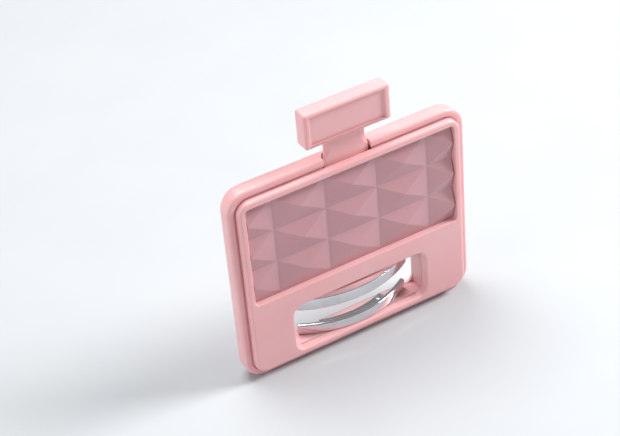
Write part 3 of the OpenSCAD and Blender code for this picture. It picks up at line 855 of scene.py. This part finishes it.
# %% Pink plastic
def pink_plastic():
    g = Graph("pink_plastic")
    body, deep, pale = rgb(243, 188, 190), rgb(238, 174, 177), rgb(250, 212, 213)
    drift = g.noise(55, 2, 0.5).between(0.3, 0.7)
    speck = g.noise(900, 2, 0.6).between(0.55, 0.8)
    handled = g.noise(110, 3, 0.6).between(0.55, 0.8)
    colour = g.mix(drift * 0.5, body, deep)
    colour = g.mix(speck * 0.10, colour, deep)
    colour = g.mix(handled * 0.18, colour, pale)
    smear = g.noise(140, 4, 0.6, g.stretch((1.0, 1.0, 0.45))).between(0.35, 0.75)
    skin = g.noise(4200, 2, 0.5) * 0.5 + g.noise(700, 2, 0.5) * 0.35 + g.noise(60, 1, 0.4) * 1.6
    g.bump(skin, 0.000035, 0.35)
    return g.feed(Base_Color=colour, Roughness=0.28 + smear * 0.09 + handled * 0.05,
                  Coat_Weight=0.2, Coat_Roughness=0.18, IOR=1.49,
                  Subsurface_Weight=0.32, Subsurface_Scale=2.0 * MM,
                  Subsurface_Radius=(1.0, 0.32, 0.30))


pink = pink_plastic()
print("finish:", pink.name, len(pink.node_tree.nodes), "nodes")

# %% [markdown]
# The panel is the same plastic from a polished mould, so it is glossier and shows a clearer reflection in
# each facet. Its colour is painted a darker mauve than the frame's pink, which is painted shade for the
# recessed panel. Faint hairlines from being carried in a bag lie across the facets.

# %% Faceted panel's plastic
def polished_facets():
    g = Graph("facet_plastic")
    drift = g.noise(45, 2, 0.5).between(0.3, 0.7)
    # painted shade: these base colours are a darker mauve copy of the frame's pink, for the shade in the
    # recessed panel
    colour = g.mix(drift * 0.6, rgb(206, 152, 158), rgb(197, 142, 149))
    colour = g.mix(g.noise(700, 2, 0.6).between(0.6, 0.8) * 0.12, colour, rgb(226, 178, 182))
    hairline = g.noise(260, 2, 0.55, g.stretch((0.5, 1.0, 7.0))).between(0.62, 0.68)
    g.bump(g.noise(26, 1, 0.5) * 0.5 + g.noise(3000, 2, 0.5) * 0.05, 0.00003, 0.4)
    return g.feed(Base_Color=colour, Roughness=0.20 + drift * 0.06 + hairline * 0.015,
                  Coat_Weight=0.35, Coat_Roughness=0.08, IOR=1.52,
                  Subsurface_Weight=0.12, Subsurface_Scale=0.8 * MM, Subsurface_Radius=(1.0, 0.35, 0.33))


facets = polished_facets()
print("finish:", facets.name, len(facets.node_tree.nodes), "nodes")

# %% [markdown]
# Nylon is used where parts slide: off-white, dull, and slightly mottled. The pad is soft silicone: a milky
# pink with almost no gloss and a fine dusty grain.

# %% Nylon and silicone
def nylon_finish():
    g = Graph("nylon")
    mottle = g.noise(420, 3, 0.6).between(0.35, 0.7)
    rubbed = g.edges(0.51, 0.57)
    colour = g.mix(mottle * 0.6, rgb(238, 235, 228), rgb(224, 219, 209))
    colour = g.mix(rubbed * 0.4, colour, rgb(248, 247, 244))
    g.bump(g.noise(2600, 3, 0.55), 0.00002, 0.5)
    return g.feed(Base_Color=colour, Roughness=0.48 + mottle * 0.12, IOR=1.53,
                  Subsurface_Weight=0.15, Subsurface_Scale=0.8 * MM)


def silicone_finish():
    g = Graph("silicone")
    cloud = g.noise(300, 3, 0.6).between(0.3, 0.7)
    dust = g.noise(2200, 2, 0.7).between(0.62, 0.75)
    colour = g.mix(cloud * 0.6, rgb(246, 214, 220), rgb(238, 198, 207))
    colour = g.mix(dust * 0.5, colour, rgb(252, 240, 242))
    g.bump(g.noise(3200, 2, 0.6) + g.noise(240, 2, 0.5) * 0.8, 0.00003, 0.5)
    return g.feed(Base_Color=colour, Roughness=0.52 + cloud * 0.14, IOR=1.43,
                  Subsurface_Weight=0.45, Subsurface_Scale=1.5 * MM, Subsurface_Radius=(1.0, 0.5, 0.5))


nylon, silicone = nylon_finish(), silicone_finish()
print("finishes:", nylon.name, silicone.name)

# %% [markdown]
# ## Metals
# One recipe makes every metal: a base colour, a grain that runs along one axis and roughens the surface,
# a slight tarnish in patches, and bright worn edges. Only the numbers and the grain's direction change.

# %% Metals
def metal(name, bright, dull, worn, rough, grain, grain_depth):
    g = Graph(name)
    tarnish = g.noise(190, 4, 0.6).between(0.45, 0.75)
    lines = g.noise(900, 3, 0.6, g.stretch(grain))
    rubbed = g.edges(0.52, 0.60)
    colour = g.mix(tarnish * 0.5, bright, dull)
    colour = g.mix(rubbed * 0.5, colour, worn)
    g.bump(lines, grain_depth * MM, 0.4)
    return g.feed(Base_Color=colour, Metallic=1.0, Roughness=rough + lines * 0.10 + tarnish * 0.12)


WHITE_EDGE, BRASS_EDGE = rgb(240, 240, 242), rgb(246, 220, 160)
METALS = {                               # bright, dull and worn colour, roughness, grain, its depth in mm
    "jaw_steel": (rgb(222, 223, 227), rgb(196, 197, 203), WHITE_EDGE, 0.08, (0.25, 0.25, 6.0), 0.006),
    "rod_steel": (rgb(206, 208, 212), rgb(180, 182, 188), WHITE_EDGE, 0.16, (5.0, 5.0, 0.3), 0.010),
    "spring_steel": (rgb(176, 178, 184), rgb(142, 144, 150), WHITE_EDGE, 0.22, (2.0, 2.0, 2.0), 0.010),
    "screw_steel": (rgb(204, 205, 210), rgb(170, 171, 178), WHITE_EDGE, 0.20, (3.0, 1.0, 3.0), 0.008),
    "brass": (rgb(222, 190, 120), rgb(186, 150, 86), BRASS_EDGE, 0.18, (4.0, 4.0, 0.6), 0.010),
}
metals = {name: metal(name, *recipe) for name, recipe in METALS.items()}
print("metals:", ", ".join(metals))

# %% [markdown]
# ## Putting the pieces on the frame
# Each new piece rides on one of the two bodies, is painted with its finish, and hides the nodes that it
# replaces. The nodes whose shapes are already right keep their meshes and get the same finishes.

# %% Ride, replace and paint
FINISHES = {"pink_plastic": pink, "facet_plastic": facets, "nylon": nylon, "silicone": silicone, **metals}


def paint(piece, finish):
    """Gives a piece one finish in place of any that it has."""
    piece.data.materials.clear()
    piece.data.materials.append(FINISHES[finish])


def settle(piece, body, nodes, finish):
    """Paints a piece, hides the nodes that it stands for, and makes it ride on its body."""
    paint(piece, finish)
    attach(piece, body)
    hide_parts(*nodes)


settle(shell, "frame", ["back_shell"], "pink_plastic")
settle(bezel, "frame", ["front_bezel"], "pink_plastic")
settle(panel, "frame", ["facet_panel"], "facet_plastic")
settle(fixed_jaw, "frame", ["fixed_jaw"], "jaw_steel")
settle(frame_screws, "frame", ["frame_screws"], "screw_steel")
settle(guide_screws, "frame", ["guide_screws"], "screw_steel")
settle(jaw_screws, "frame", ["fixed_jaw_screws"], "screw_steel")
settle(plunger, "plunger_set", ["plunger"], "pink_plastic")
settle(carrier, "plunger_set", ["jaw_carrier"], "pink_plastic")
settle(rivets, "plunger_set", ["carrier_rivets"], "screw_steel")
settle(moving_jaw, "plunger_set", ["moving_jaw"], "jaw_steel")
settle(pad, "plunger_set", ["lash_pad"], "silicone")
for side, spring in springs.items():
    settle(spring, "frame", [f"return_spring_{side}"], "spring_steel")
    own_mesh(spring)

slots = {row["node"]: row["material_slot"] for row in frame["record"]["subparts"]}
kept = [node for node, piece in frame["nodes"].items() if not piece.hide_render]
for node in kept:
    piece = frame["nodes"][node]
    paint(piece, slots[node])
    for polygon in piece.data.polygons:
        polygon.material_index = 0
print("nodes that keep their own mesh:", ", ".join(sorted(kept)))

# %% [markdown]
# ## Stage and light
# The floor is plain and pale. A small key light stands to the right, a little in front of the object, so
# that it rakes across the facets. A broad light overhead and behind gives the bright top edges, a weak one
# on the left fills the sides, and the world adds an even white surround.

# %% Floor
def floor_finish():
    g = Graph("studio_floor")
    cloth = g.noise(30, 3, 0.5).between(0.3, 0.7)
    colour = g.mix(cloth * 0.5, rgb(198, 202, 205), rgb(194, 198, 202))
    return g.feed(Base_Color=colour, Roughness=0.85)


FLOOR_HALF = 3.0
floor_corners = [(x * FLOOR_HALF, y * FLOOR_HALF, 0) for x, y in ((-1, -1), (1, -1), (1, 1), (-1, 1))]
floor_mesh = bpy.data.meshes.new("studio_floor")
floor_mesh.from_pydata(floor_corners, [], [(0, 1, 2, 3)])
floor = bpy.data.objects.new("studio_floor", floor_mesh)
bpy.context.collection.objects.link(floor)
floor_mesh.materials.append(floor_finish())
print("floor", 2 * FLOOR_HALF, "m across")

# %% Lights
MIDDLE = Vector((0, 0, 0.045))


def soft_light(name, place, size, power):
    """Round area light that faces the middle of the object; place and size in metres, power in watts."""
    data = bpy.data.lights.new(name, "AREA")
    data.shape, data.size, data.energy = "DISK", size, power
    light = bpy.data.objects.new(name, data)
    bpy.context.collection.objects.link(light)
    place = Vector(place)
    turn = (MIDDLE - place).to_track_quat("-Z", "Y").to_matrix().to_4x4()
    light.matrix_world = Matrix.Translation(place) @ turn


soft_light("key", (0.60, -0.18, 0.50), 0.30, 6.6)
soft_light("overhead", (-0.05, 0.30, 0.75), 0.60, 5.0)
soft_light("left_fill", (-0.72, -0.12, 0.30), 0.50, 1.9)

world = bpy.data.worlds.new("studio")
bpy.context.scene.world = world
world.use_nodes = True
sky = world.node_tree.nodes["Background"]
sky.inputs["Color"].default_value = (1.0, 0.995, 0.995, 1)
sky.inputs["Strength"].default_value = 0.26
bpy.context.scene.view_settings.view_transform = "Standard"

# %% [markdown]
# ## Last cell
# The finished pieces have to fill the same box as the working model. This cell only imports json.

# %% Import json
import json
